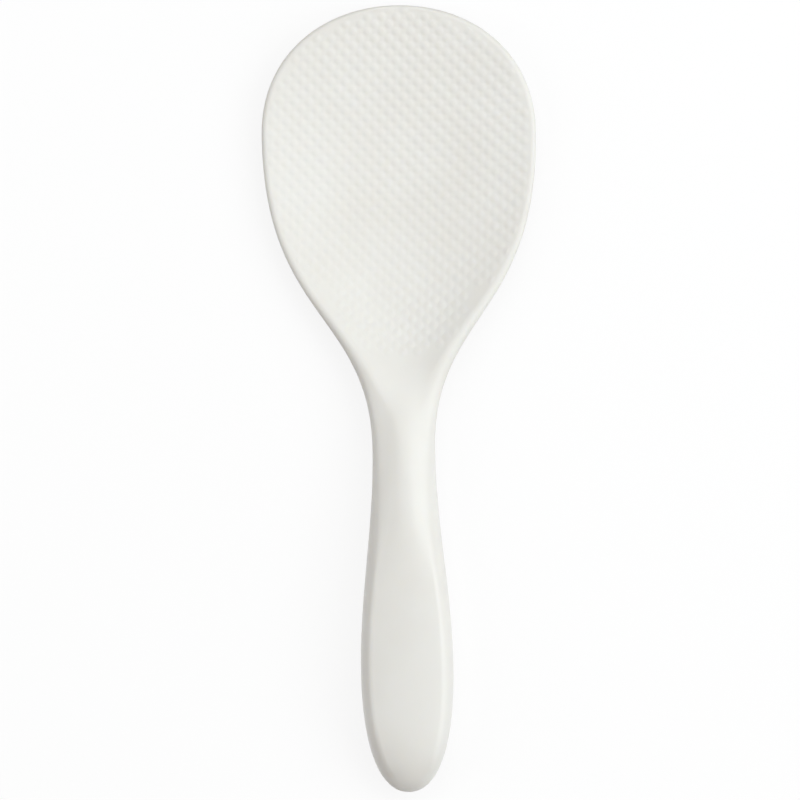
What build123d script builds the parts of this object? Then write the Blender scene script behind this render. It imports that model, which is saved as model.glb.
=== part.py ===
from build123d import *
from math import atan2, cos, radians, sqrt, tan
import os

# Rice paddle: one moulding with a dished blade, a slim neck and a teardrop handle.
# It lies on its back with the dish facing up: X is across, +Y points to the tip of the blade, Z is up.
# The origin is on the table, below the middle of the paddle.
# A station is a distance along the paddle, measured from the tip of the blade.

# Lengths along the paddle, each from where the last one ends
tip_to_widest = 32.6
widest_to_neck = 80.5
neck_to_grip = 55.8
grip_to_butt = 31.1

# Widths across the paddle
blade_width = 69.8
neck_width = 15.9
grip_width = 23.5

# Middle of the face: down from the tip to the floor of the dish, up to the crest of the handle
tip_height = 6.1
tip_sag = 1.9
floor_station = 52.0
floor_thickness = 2.4
crest_to_butt = 42.0
crest_height = 15.2

# Middle of the underside: blade and heel rest on small flats, with an arch between them
arch_to_neck = 3.0
arch_height = 3.2
heel_to_butt = 35.0
flat_depth = 0.2

# Rounded end of the handle
butt_height = 7.2
butt_rounding = 18.0

# Rim of the dish, a thin rounded edge that widens into the shoulder of the handle
rim_station = 35.0
rim_height = 6.5
rim_radius = 0.95
rim_width = 1.4
neck_shoulder_width = 5.0
grip_shoulder_width = 3.0
shoulder_drop = 0.7
shoulder_break = 2.0

# Sides of the handle above and below the parting line, which runs round the paddle at its widest
side_growth_station = 66.0
side_rise = 7.0
side_drop = 6.6
draft_angle = 1.5

# How far the handles of each curve reach, as shares of its span
nose_reach_shares = (0.54, 0.63)
flank_reach_shares = (0.585, 0.434)
grip_reach_shares = (0.36, 0.36)
butt_reach_shares = (0.585, 0.68)
face_reach_shares = ((0.3, 0.4), (0.48, 0.77))
sole_reach_shares = ((0.3, 0.4), (0.5, 0.4), (0.4, 0.4))
rim_reach_shares = ((0.4, 0.4), (0.507, 0.432))
width_reach_shares = ((0.6, 0.2), (0.5, 0.5))
level_reach_shares = (0.5, 0.5)
round_share = 0.552

# Stations of the cross-sections: angles round the two ends, and shares of the spans between them
nose_angles = (2, 5, 9, 14, 20, 30, 42, 55, 70, 90)
flank_shares = (0.12, 0.25, 0.37, 0.48, 0.58, 0.67, 0.76, 0.87, 1.0)
grip_shares = (0.25, 0.5, 0.75, 1.0)
butt_angles = (70, 52, 38, 26, 17, 10, 5, 2)

length = tip_to_widest + widest_to_neck + neck_to_grip + grip_to_butt
neck_station = tip_to_widest + widest_to_neck
grip_station = neck_station + neck_to_grip
crest_station = length - crest_to_butt
heel_station = length - heel_to_butt
arch_station = neck_station - arch_to_neck
half_blade = blade_width / 2
half_neck = neck_width / 2
half_grip = grip_width / 2
tip_crest = tip_height + rim_radius
tip_sole = tip_height - rim_radius
shoulder_height = crest_height - shoulder_drop


def place(station):
    """Y coordinate of a station."""
    return length / 2 - station


def across(station):
    """Plane across the paddle at a station, with X across and local Y up."""
    return Plane.XZ.offset(-place(station))


def swell(station, start, end, first, last):
    """Size that grows smoothly from first to last between two stations."""
    share = min(max((station - start) / (end - start), 0.0), 1.0)
    return first + (last - first) * share * share * (3 - 2 * share)


def roundness(distance, reach):
    """Share of its full height that a rounded end has at a distance from its point."""
    return sqrt(1 - (1 - min(distance / reach, 1.0)) ** 2)


def rail(first, last, reach_shares, sag=0.0):
    """Side-view curve between two (station, height) points: level at its end, sagging from its start."""
    span = last[0] - first[0]
    return Bezier(
        (place(first[0]), first[1]),
        (place(first[0] + reach_shares[0] * span), first[1] - sag),
        (place(last[0] - reach_shares[1] * span), last[1]),
        (place(last[0]), last[1]),
    )


# Half outline in plan: nose, flank, grip and butt
with BuildLine(Plane.XY) as outline:
    nose = Bezier(
        (0, place(0)),
        (nose_reach_shares[0] * half_blade, place(0)),
        (half_blade, place(tip_to_widest - nose_reach_shares[1] * tip_to_widest)),
        (half_blade, place(tip_to_widest)),
    )
    flank = Bezier(
        nose @ 1,
        (half_blade, place(tip_to_widest + flank_reach_shares[0] * widest_to_neck)),
        (half_neck, place(neck_station - flank_reach_shares[1] * widest_to_neck)),
        (half_neck, place(neck_station)),
    )
    grip = Bezier(
        flank @ 1,
        (half_neck, place(neck_station + grip_reach_shares[0] * neck_to_grip)),
        (half_grip, place(grip_station - grip_reach_shares[1] * neck_to_grip)),
        (half_grip, place(grip_station)),
    )
    butt = Bezier(
        grip @ 1,
        (half_grip, place(grip_station + butt_reach_shares[0] * grip_to_butt)),
        (butt_reach_shares[1] * half_grip, place(length)),
        (0, place(length)),
    )

# Middle of the face, seen from the side
with BuildLine(Plane.YZ) as face_line:
    rail((0, tip_crest), (floor_station, floor_thickness), face_reach_shares[0], tip_sag)
    rail((floor_station, floor_thickness), (crest_station, crest_height), face_reach_shares[1])
    rail((crest_station, crest_height), (length, crest_height), level_reach_shares)

# Middle of the underside, which dips below the table where the flats are
with BuildLine(Plane.YZ) as sole_line:
    rail((0, tip_sole), (floor_station, -flat_depth), sole_reach_shares[0], tip_sag)
    rail((floor_station, -flat_depth), (arch_station, arch_height), sole_reach_shares[1])
    rail((arch_station, arch_height), (heel_station, -flat_depth), sole_reach_shares[2])
    rail((heel_station, -flat_depth), (length, -flat_depth), level_reach_shares)

# Rim of the dish, which runs on as the shoulder of the handle
with BuildLine(Plane.YZ) as rim_line:
    rail((0, tip_crest), (rim_station, rim_height), rim_reach_shares[0])
    rail((rim_station, rim_height), (crest_station, shoulder_height), rim_reach_shares[1])
    rail((crest_station, shoulder_height), (length, shoulder_height), level_reach_shares)

# Width of the rim, least round the blade and greatest at the neck
with BuildLine(Plane.YZ) as width_line:
    rail((0, rim_width), (tip_to_widest, rim_width), level_reach_shares)
    rail((tip_to_widest, rim_width), (neck_station, neck_shoulder_width), width_reach_shares[0])
    rail((neck_station, neck_shoulder_width), (crest_station, grip_shoulder_width), width_reach_shares[1])
    rail((crest_station, grip_shoulder_width), (length, grip_shoulder_width), level_reach_shares)


def crossing(guide, station):
    """Point where a guide curve crosses a station, and the curve's direction there."""
    for edge in guide.edges():
        hits = edge.intersect(across(station))
        if hits:
            point = hits[0].center()
            return point, edge.tangent_at(edge.param_at_point(point))


def round_ends(height, axis, station):
    """Height drawn in towards the axis of the nose, and towards the end of the butt."""
    height = axis + (height - axis) * roundness(station, rim_radius)
    return butt_height + (height - butt_height) * roundness(length - station, butt_rounding)


def section(station):
    """Cross-section of the paddle: face, two sides and underside, with the parting line at its widest."""
    edge_point, direction = crossing(outline, station)
    half = edge_point.X
    inset = min(crossing(width_line, station)[0].Z / abs(direction.Y), half / 2)
    inner = half - inset
    rise = swell(station, side_growth_station, crest_station, rim_radius, side_rise)
    drop = swell(station, side_growth_station, crest_station, rim_radius, side_drop)
    rim = crossing(rim_line, station)[0].Z
    axis = rim - rim_radius
    face = round_ends(crossing(face_line, station)[0].Z, axis, station)
    shoulder = round_ends(rim, axis, station)
    side = round_ends(rim - rise, axis, station)
    hip = round_ends(rim - rise - drop, axis, station)
    sole = round_ends(crossing(sole_line, station)[0].Z, axis, station)
    face_angle = atan2(2 * (shoulder - face), inner) - radians(shoulder_break)
    sole_angle = atan2(2 * (hip - sole), inner) + radians(shoulder_break)
    reach = round_share * inset
    upper_reach = round_share * (shoulder - side)
    lower_reach = round_share * (side - hip)
    draft = tan(radians(draft_angle))
    shoulder_handle = (inner + reach, shoulder + reach * tan(face_angle))
    upper_handle = (half - upper_reach * draft, side + upper_reach)
    lower_handle = (half - lower_reach * draft, side - lower_reach)
    hip_handle = (inner + reach, hip + reach * tan(sole_angle))
    with BuildSketch(across(station)) as profile:
        with BuildLine():
            Bezier((-inner, shoulder), (0, 2 * face - shoulder), (inner, shoulder))
            upper_side = Bezier((inner, shoulder), shoulder_handle, upper_handle, (half, side))
            lower_side = Bezier((half, side), lower_handle, hip_handle, (inner, hip))
            Bezier((inner, hip), (0, 2 * sole - hip), (-inner, hip))
            mirror([upper_side, lower_side], about=Plane.YZ)
        make_face()
    return profile.sketch


stations = [tip_to_widest * (1 - cos(radians(angle))) for angle in nose_angles]
stations += [tip_to_widest + share * widest_to_neck for share in flank_shares]
stations += [neck_station + share * neck_to_grip for share in grip_shares]
stations += [length - grip_to_butt * (1 - cos(radians(angle))) for angle in butt_angles]

with BuildPart() as paddle:
    loft([section(station) for station in stations])
    split(bisect_by=Plane.XY, keep=Keep.TOP)

paddle.part.label = "paddle"
os.makedirs("parts", exist_ok=True)
export_step(paddle.part, "parts/paddle.step")
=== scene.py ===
"""Rice paddle moulded in one piece of white polypropylene, lying on its back on a white table.

The visual model stands for the one CAD node, `paddle`. It follows the same guide curves and sizes, with a mesh
fine enough for the soft rims and for the raised dots of the dish. Sizes are in millimetres until they reach
Blender, and a station is a distance along the paddle from the tip of its blade.
"""

import logging
import math
from dataclasses import dataclass, field
from enum import Enum

import bmesh
import bpy
import numpy as np
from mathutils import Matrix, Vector

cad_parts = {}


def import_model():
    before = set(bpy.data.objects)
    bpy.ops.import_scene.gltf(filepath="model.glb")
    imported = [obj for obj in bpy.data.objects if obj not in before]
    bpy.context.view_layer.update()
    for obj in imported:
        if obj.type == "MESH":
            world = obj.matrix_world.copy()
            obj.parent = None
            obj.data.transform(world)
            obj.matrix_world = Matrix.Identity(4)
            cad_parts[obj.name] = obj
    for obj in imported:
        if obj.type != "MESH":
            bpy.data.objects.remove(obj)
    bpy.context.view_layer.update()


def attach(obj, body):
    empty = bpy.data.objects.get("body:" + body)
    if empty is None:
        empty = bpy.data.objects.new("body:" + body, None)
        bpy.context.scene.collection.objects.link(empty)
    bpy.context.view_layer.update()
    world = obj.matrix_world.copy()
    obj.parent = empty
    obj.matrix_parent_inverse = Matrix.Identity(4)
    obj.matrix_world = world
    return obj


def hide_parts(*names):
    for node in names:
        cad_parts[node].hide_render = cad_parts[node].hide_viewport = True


METRES = 0.001
MERGE_METRES = 1e-7

Array = np.ndarray
Point = tuple[float, float]
log = logging.getLogger("rice_paddle")


def linear(hex_colour: str, alpha: float = 1.0) -> tuple[float, float, float, float]:
    """Turns an sRGB hex colour into linear light.

    Args:
        hex_colour: Six hex digits after a hash sign.
        alpha: Opacity to put after the three colour values.

    Returns:
        Red, green, blue and opacity.
    """
    values = [int(hex_colour[start : start + 2], 16) / 255 for start in (1, 3, 5)]
    bent = [v / 12.92 if v <= 0.04045 else ((v + 0.055) / 1.055) ** 2.4 for v in values]
    return bent[0], bent[1], bent[2], alpha


def add_node(tree: bpy.types.NodeTree, kind: str, **inputs: object) -> bpy.types.Node:
    """Adds a node and gives it its settings and links.

    Args:
        tree: The node tree that gets the node.
        kind: Blender's name for the node's type.
        inputs: Properties of the node by name, and sockets as `i_` with the socket's index or its name in lower
            case with underscores. A socket's value is a constant or the output socket that feeds it.

    Returns:
        The new node.
    """
    node = tree.nodes.new(kind)
    sockets = {socket.name.lower().replace(" ", "_"): socket for socket in reversed(node.inputs)}
    for name, value in inputs.items():
        if not name.startswith("i_"):
            setattr(node, name, value)
            continue
        key = name[2:]
        socket = node.inputs[int(key)] if key.isdigit() else sockets[key]
        if isinstance(value, bpy.types.NodeSocket):
            tree.links.new(value, socket)
        else:
            socket.default_value = value
    return node


class Level(Enum):
    """Which height of the cross-section a guide curve gives."""

    FACE = "middle of the face"
    RIM = "top of the rim and shoulder"
    SOLE = "middle of the underside"


@dataclass(frozen=True)
class Guide:
    """Chain of cubic curves that gives one size of the paddle at each station.

    Attributes:
        spans: Each curve's four (station, size) points.
        samples: How many points of each curve are looked up between.
    """

    spans: tuple[tuple[Point, Point, Point, Point], ...]
    samples: int = 3000

    def table(self) -> tuple[Array, Array]:
        """Gives the stations and sizes along the whole chain."""
        step = np.linspace(0.0, 1.0, self.samples)[:, None]
        parts = []
        for first, second, third, last in (np.array(span, float) for span in self.spans):
            parts.append(
                (1 - step) ** 3 * first
                + 3 * (1 - step) ** 2 * step * second
                + 3 * (1 - step) * step**2 * third
                + step**3 * last
            )
        points = np.concatenate(parts)
        return points[:, 0], points[:, 1]

    def at(self, station: Array) -> Array:
        """Gives the size at each station."""
        stations, sizes = self.table()
        return np.interp(station, stations, sizes)

    def slope(self, station: Array) -> Array:
        """Gives how fast the size grows along the paddle at each station."""
        stations, sizes = self.table()
        steps = np.diff(stations)
        kept = steps > 0
        middles = (stations[1:] + stations[:-1])[kept] / 2
        return np.interp(station, middles, np.diff(sizes)[kept] / steps[kept])


@dataclass(frozen=True)
class DotField:
    """Raised dots of the dish, staggered row by row, up to the rim and to an arc above the neck.

    The pattern was stretched over the hollow of the mould: rows bow, columns lean, and both close up a little
    towards the neck. Each bend lists the weights of x, along, 1, x^2, along^2, x^2 along and along^3 in the
    distance up to a column or row, where along is the distance from the middle station.

    Attributes:
        diameter: Width of a dot at its foot.
        height: How far a dot stands above the face.
        flatness: Power that flattens the top of a dot and steepens its flank: 1 gives a plain wave.
        to_outline: Least distance from the outline to the middle of a dot.
        fade: Distance over which the outermost dots sink into the rim.
        middle_station: Station where the pattern is least bent.
        column_pitch: Distance between neighbouring columns, which are half a dot's spacing apart.
        row_pitch: Distance between neighbouring rows.
        column_bend: Weights in the distance up to a column.
        row_bend: Weights in the distance up to a row.
        end_station: Station that the arc reaches in the middle.
        end_radius: Radius of the arc.
        nudge: Step over which the growth of the counts is measured.
    """

    diameter: float = 2.7
    height: float = 0.17
    flatness: float = 1.3
    to_outline: float = 1.9
    fade: float = 0.4
    middle_station: float = 45.0
    column_pitch: float = 1.835
    row_pitch: float = 1.813
    column_bend: tuple[float, ...] = (1.0, 0.0263, 1.069, 4.24e-4, 3.98e-4, 1.4e-5, 6.6e-6)
    row_bend: tuple[float, ...] = (-0.0106, 1.0, 1.635, 1.98e-3, 7.98e-4, 4.93e-5, 1.24e-5)
    end_station: float = 89.3
    end_radius: float = 17.4
    nudge: float = 0.01

    def count(self, x: Array, station: Array) -> tuple[Array, Array]:
        """Counts columns and rows up to each point.

        A dot stands where both counts are whole, and both are odd or both even.

        Args:
            x: Distance of each point from the middle of the face.
            station: Station of each point.

        Returns:
            Columns and rows.
        """
        along = station - self.middle_station
        terms = np.stack((x, along, np.ones_like(x), x**2, along**2, x**2 * along, along**3))
        columns = np.tensordot(self.column_bend, terms, 1) / self.column_pitch
        return columns, np.tensordot(self.row_bend, terms, 1) / self.row_pitch

    def lift(self, paddle: "Paddle", x: Array, station: Array) -> Array:
        """Finds how far the dots raise the face.

        Args:
            paddle: The paddle whose rim bounds the field.
            x: Distance of each point from the middle of the face.
            station: Station of each point.

        Returns:
            The rise at each point.
        """
        column, row = self.count(x, station)
        column_beside, row_beside = self.count(x + self.nudge, station)
        column_along, row_along = self.count(x, station + self.nudge)
        column_x, row_x = (column_beside - column) / self.nudge, (row_beside - row) / self.nudge
        column_s, row_s = (column_along - column) / self.nudge, (row_along - row) / self.nudge
        area = column_x * row_s - column_s * row_x

        rise = np.zeros_like(x)
        for odd in (0, 1):
            past_column = column - odd - 2 * np.round((column - odd) / 2)
            past_row = row - odd - 2 * np.round((row - odd) / 2)
            from_x = (past_column * row_s - past_row * column_s) / area
            from_station = (past_row * column_x - past_column * row_x) / area
            away = np.hypot(from_x, from_station) / (self.diameter / 2)
            dome = 0.5 + 0.5 * np.cos(math.pi * np.minimum(away, 1.0) ** self.flatness)
            present = self.presence(paddle, x - from_x, station - from_station)
            rise = np.maximum(rise, dome * present)
        half, inset, slant = paddle.rim_band(station)
        to_rim = (half - inset - np.abs(x)) * slant
        return self.height * rise * np.clip(to_rim / self.fade, 0.0, 1.0)

    def presence(self, paddle: "Paddle", x: Array, station: Array) -> Array:
        """Tells what share of its height a dot at each point has, which is less than 1 at the field's border.

        Args:
            paddle: The paddle whose outline bounds the field.
            x: Distance of each dot from the middle of the face.
            station: Station of each dot.

        Returns:
            Shares from 0 to 1.
        """
        half, _, slant = paddle.rim_band(station)
        to_border = (half - np.abs(x)) * slant - self.to_outline
        past_arc = np.maximum(station - self.end_station + self.end_radius, 0.0)
        to_arc = np.where(past_arc > 0, self.end_radius - np.hypot(x, past_arc), self.end_radius)
        return np.clip(np.minimum(to_border, to_arc) / self.fade + 0.5, 0.0, 1.0)


@dataclass(frozen=True)
class Polypropylene:
    """White polypropylene, injection-moulded in a satin-polished steel mould that is blasted matt in the dish.

    The eye sees a warm white with a soft sheen on the handle and hardly any in the dish. Light enters the skin
    a little, so the dots look soft.

    Attributes:
        name: Name of the material.
        pale: Colour where the wall took most pigment.
        deep: Colour where the melt flowed thinner, a shade warmer.
        flow_mm: Size of the clouds that the flow leaves.
        flow_band: Part of the clouds' range over which the colour changes.
        grain_mm: Size of the mould's polish marks, drawn coarser than the real 0.05 mm so that they show.
        grain_depth_mm: Depth of those marks.
        roughness: Middle of the sheen's roughness.
        roughness_spread: How much the roughness varies with the polish.
        dish_roughness: How much rougher the dish is than the handle.
        dish_end_mm: Where along Y the dish's rougher face sets in, and where it has come in full.
        ior: Refractive index of polypropylene.
        skin: Share of light that scatters below the surface.
        skin_mm: How far red, green and blue light travel below the surface.
    """

    name: str = "moulded_white_polypropylene"
    pale: str = "#EEEDE8"
    deep: str = "#EBE9E3"
    flow_mm: float = 22.0
    flow_band: tuple[float, float] = (0.35, 0.65)
    grain_mm: float = 0.45
    grain_depth_mm: float = 0.004
    roughness: float = 0.3
    roughness_spread: float = 0.03
    dish_roughness: float = 0.25
    dish_end_mm: tuple[float, float] = (0.0, 14.0)
    ior: float = 1.49
    skin: float = 0.12
    skin_mm: tuple[float, float, float] = (1.1, 0.9, 0.6)

    def material(self) -> bpy.types.Material:
        """Builds the material's nodes."""
        made = bpy.data.materials.new(self.name)
        made.use_nodes = True
        tree = made.node_tree
        tree.nodes.clear()
        place = add_node(tree, "ShaderNodeTexCoord").outputs["Object"]
        flow = add_node(
            tree,
            "ShaderNodeTexNoise",
            i_vector=place,
            i_scale=1 / (self.flow_mm * METRES),
            i_detail=3.0,
            i_roughness=0.5,
        )
        colour = add_node(tree, "ShaderNodeValToRGB", i_fac=flow.outputs["Fac"])
        shades = (self.deep, self.pale)
        for stop, reach, shade in zip(colour.color_ramp.elements, self.flow_band, shades):
            stop.position = reach
            stop.color = linear(shade)
        grain = add_node(
            tree,
            "ShaderNodeTexNoise",
            i_vector=place,
            i_scale=1 / (self.grain_mm * METRES),
            i_detail=2.0,
            i_roughness=0.55,
        )
        sheen = add_node(
            tree,
            "ShaderNodeMapRange",
            i_value=grain.outputs["Fac"],
            i_to_min=self.roughness - self.roughness_spread,
            i_to_max=self.roughness + self.roughness_spread,
        )
        along = add_node(tree, "ShaderNodeSeparateXYZ", i_vector=place).outputs["Y"]
        dish = add_node(
            tree,
            "ShaderNodeMapRange",
            interpolation_type="SMOOTHSTEP",
            i_value=along,
            i_from_min=self.dish_end_mm[0] * METRES,
            i_from_max=self.dish_end_mm[1] * METRES,
            i_to_max=self.dish_roughness,
        )
        rough = add_node(
            tree, "ShaderNodeMath", operation="ADD", i_0=sheen.outputs["Result"], i_1=dish.outputs["Result"]
        )
        bump = add_node(
            tree,
            "ShaderNodeBump",
            i_strength=1.0,
            i_distance=self.grain_depth_mm * METRES,
            i_height=grain.outputs["Fac"],
        )
        surface = add_node(
            tree,
            "ShaderNodeBsdfPrincipled",
            i_base_color=colour.outputs["Color"],
            i_roughness=rough.outputs["Value"],
            i_ior=self.ior,
            i_subsurface_weight=self.skin,
            i_subsurface_radius=tuple(value * METRES for value in self.skin_mm),
            i_subsurface_scale=1.0,
            i_normal=bump.outputs["Normal"],
        )
        add_node(tree, "ShaderNodeOutputMaterial", i_surface=surface.outputs["BSDF"])
        return made


@dataclass(frozen=True)
class Paddle:
    """One moulding: a dished blade with a half-round rim, a slim neck and a teardrop handle.

    Attributes give the sizes in millimetres, station by station from the tip, then how far the handles of each
    guide curve reach as shares of its span, and then the counts of the mesh.
    """

    tip_to_widest: float = 32.6
    widest_to_neck: float = 80.5
    neck_to_grip: float = 55.8
    grip_to_butt: float = 31.1
    blade_width: float = 69.8
    neck_width: float = 15.9
    grip_width: float = 23.5
    tip_height: float = 6.1
    tip_sag: float = 1.9
    floor_station: float = 52.0
    floor_thickness: float = 2.4
    crest_to_butt: float = 42.0
    crest_height: float = 15.2
    arch_to_neck: float = 3.0
    arch_height: float = 3.2
    heel_to_butt: float = 35.0
    flat_depth: float = 0.2
    butt_height: float = 7.2
    butt_rounding: float = 18.0
    rim_station: float = 35.0
    rim_height: float = 6.5
    rim_radius: float = 0.95
    rim_width: float = 1.4
    neck_shoulder_width: float = 5.0
    grip_shoulder_width: float = 3.0
    shoulder_drop: float = 0.7
    side_growth_station: float = 66.0
    side_rise: float = 7.0
    side_drop: float = 6.6
    round_share: float = 0.552
    end_trim_angle: float = 2.0
    nose_reaches: Point = (0.54, 0.63)
    flank_reaches: Point = (0.585, 0.434)
    grip_reaches: Point = (0.36, 0.36)
    butt_reaches: Point = (0.585, 0.68)
    face_reaches: tuple[Point, ...] = ((0.3, 0.4), (0.48, 0.77))
    rim_reaches: tuple[Point, ...] = ((0.4, 0.4), (0.507, 0.432))
    sole_reaches: tuple[Point, ...] = ((0.3, 0.4), (0.5, 0.4), (0.4, 0.4))
    width_reaches: tuple[Point, ...] = ((0.6, 0.2), (0.5, 0.5))
    level_reaches: Point = (0.5, 0.5)
    face_columns: int = 52
    side_columns: int = 8
    sole_columns: int = 32
    nose_rows: int = 40
    flank_rows: int = 64
    grip_rows: int = 36
    butt_rows: int = 34
    dish_cuts: int = 3
    dots: DotField = field(default_factory=DotField)
    finish: Polypropylene = field(default_factory=Polypropylene)

    @property
    def length(self) -> float:
        """Length of the paddle."""
        return self.tip_to_widest + self.widest_to_neck + self.neck_to_grip + self.grip_to_butt

    @property
    def neck_station(self) -> float:
        """Station of the narrowest point."""
        return self.tip_to_widest + self.widest_to_neck

    @property
    def crest_station(self) -> float:
        """Station of the handle's highest point."""
        return self.length - self.crest_to_butt

    def outline(self) -> Guide:
        """Half the width at each station."""
        blade, neck, grip = self.blade_width / 2, self.neck_width / 2, self.grip_width / 2
        widest, narrow = self.tip_to_widest, self.neck_station
        full = narrow + self.neck_to_grip
        nose = (
            (0, 0),
            (0, self.nose_reaches[0] * blade),
            (widest * (1 - self.nose_reaches[1]), blade),
            (widest, blade),
        )
        flank = (
            (widest, blade),
            (widest + self.flank_reaches[0] * self.widest_to_neck, blade),
            (narrow - self.flank_reaches[1] * self.widest_to_neck, neck),
            (narrow, neck),
        )
        handle = (
            (narrow, neck),
            (narrow + self.grip_reaches[0] * self.neck_to_grip, neck),
            (full - self.grip_reaches[1] * self.neck_to_grip, grip),
            (full, grip),
        )
        butt = (
            (full, grip),
            (full + self.butt_reaches[0] * self.grip_to_butt, grip),
            (self.length, self.butt_reaches[1] * grip),
            (self.length, 0),
        )
        return Guide((nose, flank, handle, butt))

    def rail(self, first: Point, last: Point, reaches: Point, sag: float = 0.0) -> tuple[Point, ...]:
        """Gives a curve seen from the side, level at its end and sagging from its start.

        Args:
            first: Station and height where it starts.
            last: Station and height where it ends.
            reaches: How far its handles reach, as shares of its span.
            sag: How far the first handle hangs below the start.

        Returns:
            The four points of the curve.
        """
        span = last[0] - first[0]
        return (
            first,
            (first[0] + reaches[0] * span, first[1] - sag),
            (last[0] - reaches[1] * span, last[1]),
            last,
        )

    def side_view(self, level: Level) -> Guide:
        """Gives the guide curve for one height of the cross-section."""
        if level is Level.FACE:
            tip = (0, self.tip_height + self.rim_radius)
            floor = (self.floor_station, self.floor_thickness)
            crest = (self.crest_station, self.crest_height)
            return Guide(
                (
                    self.rail(tip, floor, self.face_reaches[0], self.tip_sag),
                    self.rail(floor, crest, self.face_reaches[1]),
                    self.rail(crest, (self.length, self.crest_height), self.level_reaches),
                )
            )
        if level is Level.RIM:
            tip = (0, self.tip_height + self.rim_radius)
            rim = (self.rim_station, self.rim_height)
            crest = (self.crest_station, self.crest_height - self.shoulder_drop)
            return Guide(
                (
                    self.rail(tip, rim, self.rim_reaches[0]),
                    self.rail(rim, crest, self.rim_reaches[1]),
                    self.rail(crest, (self.length, crest[1]), self.level_reaches),
                )
            )
        tip = (0, self.tip_height - self.rim_radius)
        blade_flat = (self.floor_station, -self.flat_depth)
        arch = (self.neck_station - self.arch_to_neck, self.arch_height)
        heel = (self.length - self.heel_to_butt, -self.flat_depth)
        return Guide(
            (
                self.rail(tip, blade_flat, self.sole_reaches[0], self.tip_sag),
                self.rail(blade_flat, arch, self.sole_reaches[1]),
                self.rail(arch, heel, self.sole_reaches[2]),
                self.rail(heel, (self.length, -self.flat_depth), self.level_reaches),
            )
        )

    def widths(self) -> Guide:
        """Gives the guide curve for the width of the rim and of the shoulder."""
        widest = (self.tip_to_widest, self.rim_width)
        neck = (self.neck_station, self.neck_shoulder_width)
        crest = (self.crest_station, self.grip_shoulder_width)
        return Guide(
            (
                self.rail((0, self.rim_width), widest, self.level_reaches),
                self.rail(widest, neck, self.width_reaches[0]),
                self.rail(neck, crest, self.width_reaches[1]),
                self.rail(crest, (self.length, self.grip_shoulder_width), self.level_reaches),
            )
        )

    @staticmethod
    def swell(station: Array, start: float, end: float, first: float, last: float) -> Array:
        """Gives a size that grows smoothly from first to last between two stations."""
        share = np.clip((station - start) / (end - start), 0.0, 1.0)
        return first + (last - first) * share * share * (3 - 2 * share)

    def rim_band(self, station: Array) -> tuple[Array, Array, Array]:
        """Gives the half width, the width of the smooth rim, and how square the outline is to each station."""
        outline = self.outline()
        half = outline.at(station)
        slant = 1 / np.hypot(1.0, outline.slope(station))
        return half, np.minimum(self.widths().at(station) / slant, half / 2), slant

    def round_ends(self, height: Array, axis: Array, station: Array) -> Array:
        """Draws a height in towards the axis of the nose and towards the end of the butt."""

        def roundness(distance: Array, reach: float) -> Array:
            """Gives the share of its full height that a rounded end has at a distance from its point."""
            return np.sqrt(1 - (1 - np.clip(distance / reach, 0.0, 1.0)) ** 2)

        height = axis + (height - axis) * roundness(station, self.rim_radius)
        rounding = roundness(self.length - station, self.butt_rounding)
        return self.butt_height + (height - self.butt_height) * rounding

    def surface(self, ring: Array, station: Array) -> tuple[Array, Array]:
        """Gives points of the moulding.

        Args:
            ring: Place round the section: 0 to 1 across the face, 1 to 2 down the +X side, 2 to 3 back across
                the underside, and 3 to 4 up the -X side.
            station: Station of each point.

        Returns:
            X and Z of each point, without the dots.
        """
        half, inset, _ = self.rim_band(station)
        inner = half - inset
        rim = self.side_view(Level.RIM).at(station)
        axis = rim - self.rim_radius
        growth = (self.side_growth_station, self.crest_station, self.rim_radius)
        rise = self.swell(station, *growth, self.side_rise)
        drop = self.swell(station, *growth, self.side_drop)
        face = self.round_ends(self.side_view(Level.FACE).at(station), axis, station)
        shoulder = self.round_ends(rim, axis, station)
        side = self.round_ends(rim - rise, axis, station)
        hip = self.round_ends(rim - rise - drop, axis, station)
        sole = self.round_ends(self.side_view(Level.SOLE).at(station), axis, station)

        across = np.where(ring < 2, 2 * ring - 1, 5 - 2 * ring)
        flat = (ring <= 1) | ((ring >= 2) & (ring <= 3))
        middle = np.where(ring <= 1, face, sole)
        edge = np.where(ring <= 1, shoulder, hip)
        flat_x = inner * across
        flat_z = middle + (edge - middle) * across**2

        turn = np.where(ring < 2, ring - 1, 4 - ring)
        upper = turn < 0.5
        step = np.clip(np.where(upper, 2 * turn, 2 - 2 * turn), 0.0, 1.0)
        start = np.where(upper, shoulder, hip)
        slope = 2 * np.where(upper, shoulder - face, hip - sole) / np.maximum(inner, 1e-9)
        reach = self.round_share * inset
        rounded = self.round_share * (start - side)
        weights = ((1 - step) ** 3, 3 * (1 - step) ** 2 * step, 3 * (1 - step) * step**2, step**3)
        side_x = weights[0] * inner + weights[1] * (inner + reach) + (weights[2] + weights[3]) * half
        side_z = (
            weights[0] * start
            + weights[1] * (start + reach * slope)
            + weights[2] * (side + rounded)
            + weights[3] * side
        )
        x = np.where(flat, flat_x, np.where(ring < 2, side_x, -side_x))
        return x, np.where(flat, flat_z, side_z)

    def stations(self) -> Array:
        """Stations of the mesh's rows, closer together round the two ends."""
        quarter = math.pi / 2
        nose = self.tip_to_widest * (1 - np.cos(np.linspace(0, quarter, self.nose_rows + 1)))
        flank = self.tip_to_widest + self.widest_to_neck * np.linspace(0, 1, self.flank_rows + 1)
        grip = self.neck_station + self.neck_to_grip * np.linspace(0, 1, self.grip_rows + 1)
        butt = self.length - self.grip_to_butt * (1 - np.cos(np.linspace(quarter, 0, self.butt_rows + 1)))
        return np.concatenate((nose, flank[1:], grip[1:], butt[1:]))

    def ring_places(self) -> Array:
        """Places of the mesh's columns round the section."""
        counts = (self.face_columns, 2 * self.side_columns, self.sole_columns, 2 * self.side_columns)
        parts = [zone + np.linspace(0, 1, count + 1)[:-1] for zone, count in enumerate(counts)]
        return np.concatenate((*parts, [4.0]))

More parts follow.
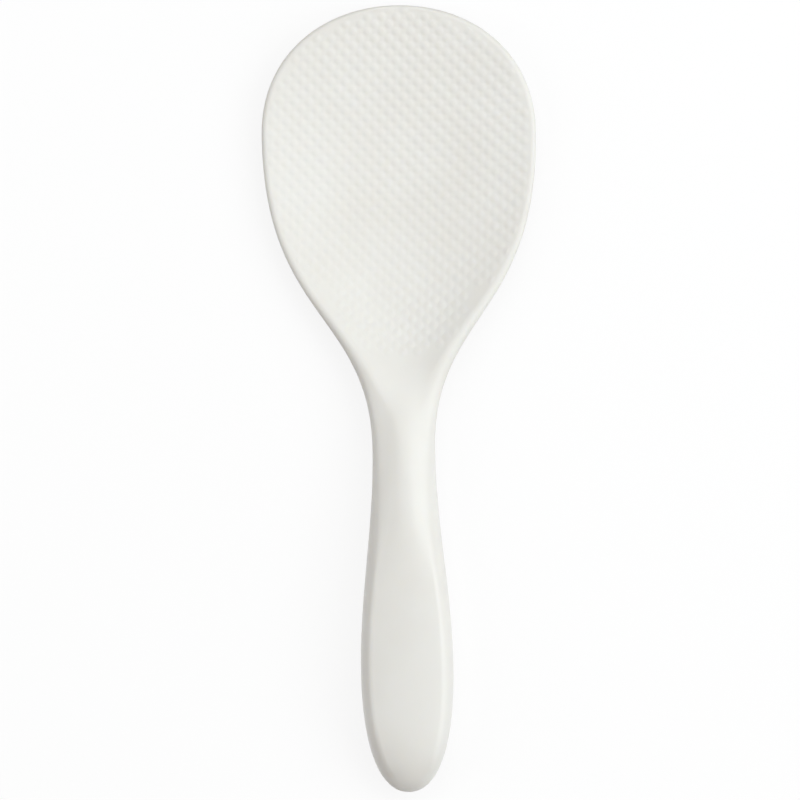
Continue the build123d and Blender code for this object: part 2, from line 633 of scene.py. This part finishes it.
    def mesh(self) -> bpy.types.Mesh:
        """Wraps a grid round the guide curves, finer in the dish, and raises the dots on it.

        The first and last rows are drawn in to where the solid's end sections stand, which closes both ends.
        """
        stations, places = self.stations(), self.ring_places()
        columns, rows = len(places) - 1, len(stations) - 1
        form = bmesh.new()
        bmesh.ops.create_grid(form, x_segments=columns, y_segments=rows, size=0.5)
        last_dish_row = int(np.searchsorted(stations, self.dots.end_station + self.dots.diameter))
        dish = [
            one
            for one in form.faces
            if (one.calc_center_median().x + 0.5) * columns < self.face_columns
            and (one.calc_center_median().y + 0.5) * rows < last_dish_row
        ]
        edges = list({edge for one in dish for edge in one.edges})
        bmesh.ops.subdivide_edges(form, edges=edges, cuts=self.dish_cuts, use_grid_fill=True)

        flat = np.array([corner.co[:2] for corner in form.verts]) + 0.5
        ring = np.interp(flat[:, 0] * columns, np.arange(columns + 1), places)
        station = np.interp(flat[:, 1] * rows, np.arange(rows + 1), stations)
        x, z = self.surface(ring, station)
        face = ring <= 1
        z[face] += self.dots.lift(self, x[face], station[face])
        trim = 1 - math.cos(math.radians(self.end_trim_angle))
        kept = np.clip(station, self.tip_to_widest * trim, self.length - self.grip_to_butt * trim)
        y = self.length / 2 - kept
        for corner, place in zip(form.verts, np.column_stack((x, y, np.maximum(z, 0.0))) * METRES):
            corner.co = place
        bmesh.ops.remove_doubles(form, verts=form.verts, dist=MERGE_METRES)
        bmesh.ops.dissolve_degenerate(form, dist=MERGE_METRES, edges=form.edges)
        bmesh.ops.recalc_face_normals(form, faces=form.faces)
        for one in form.faces:
            one.smooth = True
        made = bpy.data.meshes.new("paddle_moulding")
        form.to_mesh(made)
        form.free()
        return made

    def build(self) -> bpy.types.Object:
        """Makes the piece, dresses it and lets it stand for its CAD node."""
        piece = bpy.data.objects.new("paddle_moulding", self.mesh())
        bpy.context.scene.collection.objects.link(piece)
        piece.data.materials.append(self.finish.material())
        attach(piece, "root")
        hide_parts("paddle")
        return piece


@dataclass(frozen=True)
class Table:
    """White table top under the paddle, which looks pure white to the camera and keeps a faint shadow.

    Attributes:
        reach_mm: Half the width of the table.
        own_colour: Colour that lights the paddle from below.
        shown_share: How much of the shadow the camera sees.
    """

    reach_mm: float = 4000.0
    own_colour: str = "#B9B8B5"
    shown_share: float = 0.15

    def build(self) -> bpy.types.Object:
        """Makes the table top."""
        form = bmesh.new()
        bmesh.ops.create_grid(form, x_segments=1, y_segments=1, size=self.reach_mm * METRES)
        made = bpy.data.meshes.new("table_top")
        form.to_mesh(made)
        form.free()
        table = bpy.data.objects.new("table_top", made)
        bpy.context.scene.collection.objects.link(table)
        made.materials.append(self.material())
        return table

    def material(self) -> bpy.types.Material:
        """Painted board, matt: the camera and glossy rays see it white, other rays see its own grey."""
        made = bpy.data.materials.new("white_table_top")
        made.use_nodes = True
        tree = made.node_tree
        tree.nodes.clear()
        path = add_node(tree, "ShaderNodeLightPath").outputs
        seen = add_node(
            tree, "ShaderNodeMath", operation="MAXIMUM", i_0=path["Is Camera Ray"], i_1=path["Is Glossy Ray"]
        )
        own = add_node(tree, "ShaderNodeBsdfDiffuse", i_color=linear(self.own_colour))
        white = add_node(tree, "ShaderNodeEmission", i_color=(1.0, 1.0, 1.0, 1.0), i_strength=1.0)
        lit = add_node(tree, "ShaderNodeBsdfDiffuse", i_color=(1.0, 1.0, 1.0, 1.0))
        shown = add_node(
            tree,
            "ShaderNodeMixShader",
            i_fac=self.shown_share,
            i_1=white.outputs["Emission"],
            i_2=lit.outputs["BSDF"],
        )
        board = add_node(
            tree,
            "ShaderNodeMixShader",
            i_fac=seen.outputs["Value"],
            i_1=own.outputs["BSDF"],
            i_2=shown.outputs["Shader"],
        )
        add_node(tree, "ShaderNodeOutputMaterial", i_surface=board.outputs["Shader"])
        return made


@dataclass(frozen=True)
class Lamp:
    """Square soft box that looks at the middle of the paddle.

    Attributes:
        name: Name of the lamp.
        azimuth: Direction of the lamp from the paddle in degrees, counted from +X towards +Y.
        elevation: Height of the lamp above the horizon in degrees.
        power: Power in watts.
        side: Side of the soft box in metres.
        distance: Distance from the paddle in metres.
        colour: Colour of its light.
    """

    name: str
    azimuth: float
    elevation: float
    power: float
    side: float = 0.9
    distance: float = 1.2
    colour: str = "#F7FDFF"

    def build(self) -> bpy.types.Object:
        """Makes the lamp."""
        light = bpy.data.lights.new(self.name, "AREA")
        light.shape = "SQUARE"
        light.size = self.side
        light.energy = self.power
        light.color = linear(self.colour)[:3]
        lamp = bpy.data.objects.new(self.name, light)
        across, up = math.radians(self.azimuth), math.radians(self.elevation)
        direction = Vector(
            (math.cos(across) * math.cos(up), math.sin(across) * math.cos(up), math.sin(up))
        )
        lamp.location = direction * self.distance
        lamp.rotation_euler = direction.to_track_quat("Z", "Y").to_euler()
        bpy.context.scene.collection.objects.link(lamp)
        return lamp


@dataclass(frozen=True)
class Studio:
    """Soft light, most of it from the right, a faint warm surround, and a camera that looks straight down.

    Attributes:
        lamps: The soft boxes.
        surround: Strength of the even light from all round.
        surround_colour: Colour of that light.
        lens_mm: Focal length of the camera.
        sensor_mm: Width of the camera's sensor.
        frame_mm: Width of what the camera sees at the height of the rim.
        rim_mm: Height of the rim.
        centre_mm: Point below the camera.
        roll: Turn of the camera about its line of sight, in degrees.
    """

    lamps: tuple[Lamp, ...] = (
        Lamp("right_soft_box", azimuth=20.0, elevation=45.0, power=6.23),
        Lamp("near_right_soft_box", azimuth=-30.0, elevation=45.0, power=2.44),
        Lamp("low_right_soft_box", azimuth=-25.0, elevation=20.0, power=4.69, side=1.0),
        Lamp("top_soft_box", azimuth=90.0, elevation=60.0, power=5.51),
        Lamp("left_soft_box", azimuth=180.0, elevation=35.0, power=4.79),
    )
    surround: float = 0.1
    surround_colour: str = "#FFCEB7"
    lens_mm: float = 200.0
    sensor_mm: float = 36.0
    frame_mm: float = 203.3
    rim_mm: float = 7.0
    centre_mm: tuple[float, float] = (-0.76, -0.38)
    roll: float = -0.9

    def build(self) -> bpy.types.Object:
        """Makes the lamps, the surround and the camera."""
        for lamp in self.lamps:
            lamp.build()
        self.surround_world()
        return self.camera()

    def surround_world(self) -> None:
        """Makes the world: even light, and white where the camera looks past the table."""
        world = bpy.data.worlds.new("studio_surround")
        world.use_nodes = True
        bpy.context.scene.world = world
        tree = world.node_tree
        tree.nodes.clear()
        path = add_node(tree, "ShaderNodeLightPath").outputs
        even = add_node(
            tree, "ShaderNodeBackground", i_color=linear(self.surround_colour), i_strength=self.surround
        )
        white = add_node(tree, "ShaderNodeBackground", i_color=(1.0, 1.0, 1.0, 1.0), i_strength=1.0)
        both = add_node(
            tree,
            "ShaderNodeMixShader",
            i_fac=path["Is Camera Ray"],
            i_1=even.outputs["Background"],
            i_2=white.outputs["Background"],
        )
        add_node(tree, "ShaderNodeOutputWorld", i_surface=both.outputs["Shader"])

    def camera(self) -> bpy.types.Object:
        """Makes the camera, straight above the paddle."""
        lens = bpy.data.cameras.new("overhead_camera")
        lens.lens = self.lens_mm
        lens.sensor_width = self.sensor_mm
        lens.clip_end = 20.0
        camera = bpy.data.objects.new("overhead_camera", lens)
        height = self.rim_mm + self.frame_mm * self.lens_mm / self.sensor_mm
        camera.location = Vector((*self.centre_mm, height)) * METRES
        camera.rotation_euler = (0.0, 0.0, math.radians(self.roll))
        bpy.context.scene.collection.objects.link(camera)
        bpy.context.scene.camera = camera
        return camera


def main() -> None:
    """Builds the paddle on its table under studio light, and logs the paddle's counts, the table and the
    camera's height.
    """
    logging.basicConfig(level=logging.INFO, format="%(name)s: %(message)s")
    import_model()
    bpy.context.scene.view_settings.view_transform = "Standard"
    piece = Paddle().build()
    log.info("%s: %d vertices, %d faces", piece.name, len(piece.data.vertices), len(piece.data.polygons))
    table = Table().build()
    log.info("%s: stage", table.name)
    camera = Studio().build()
    log.info("%s: %.3f m above the table", camera.name, camera.location.z)
    bpy.context.view_layer.update()


if __name__ == "__main__":
    main()
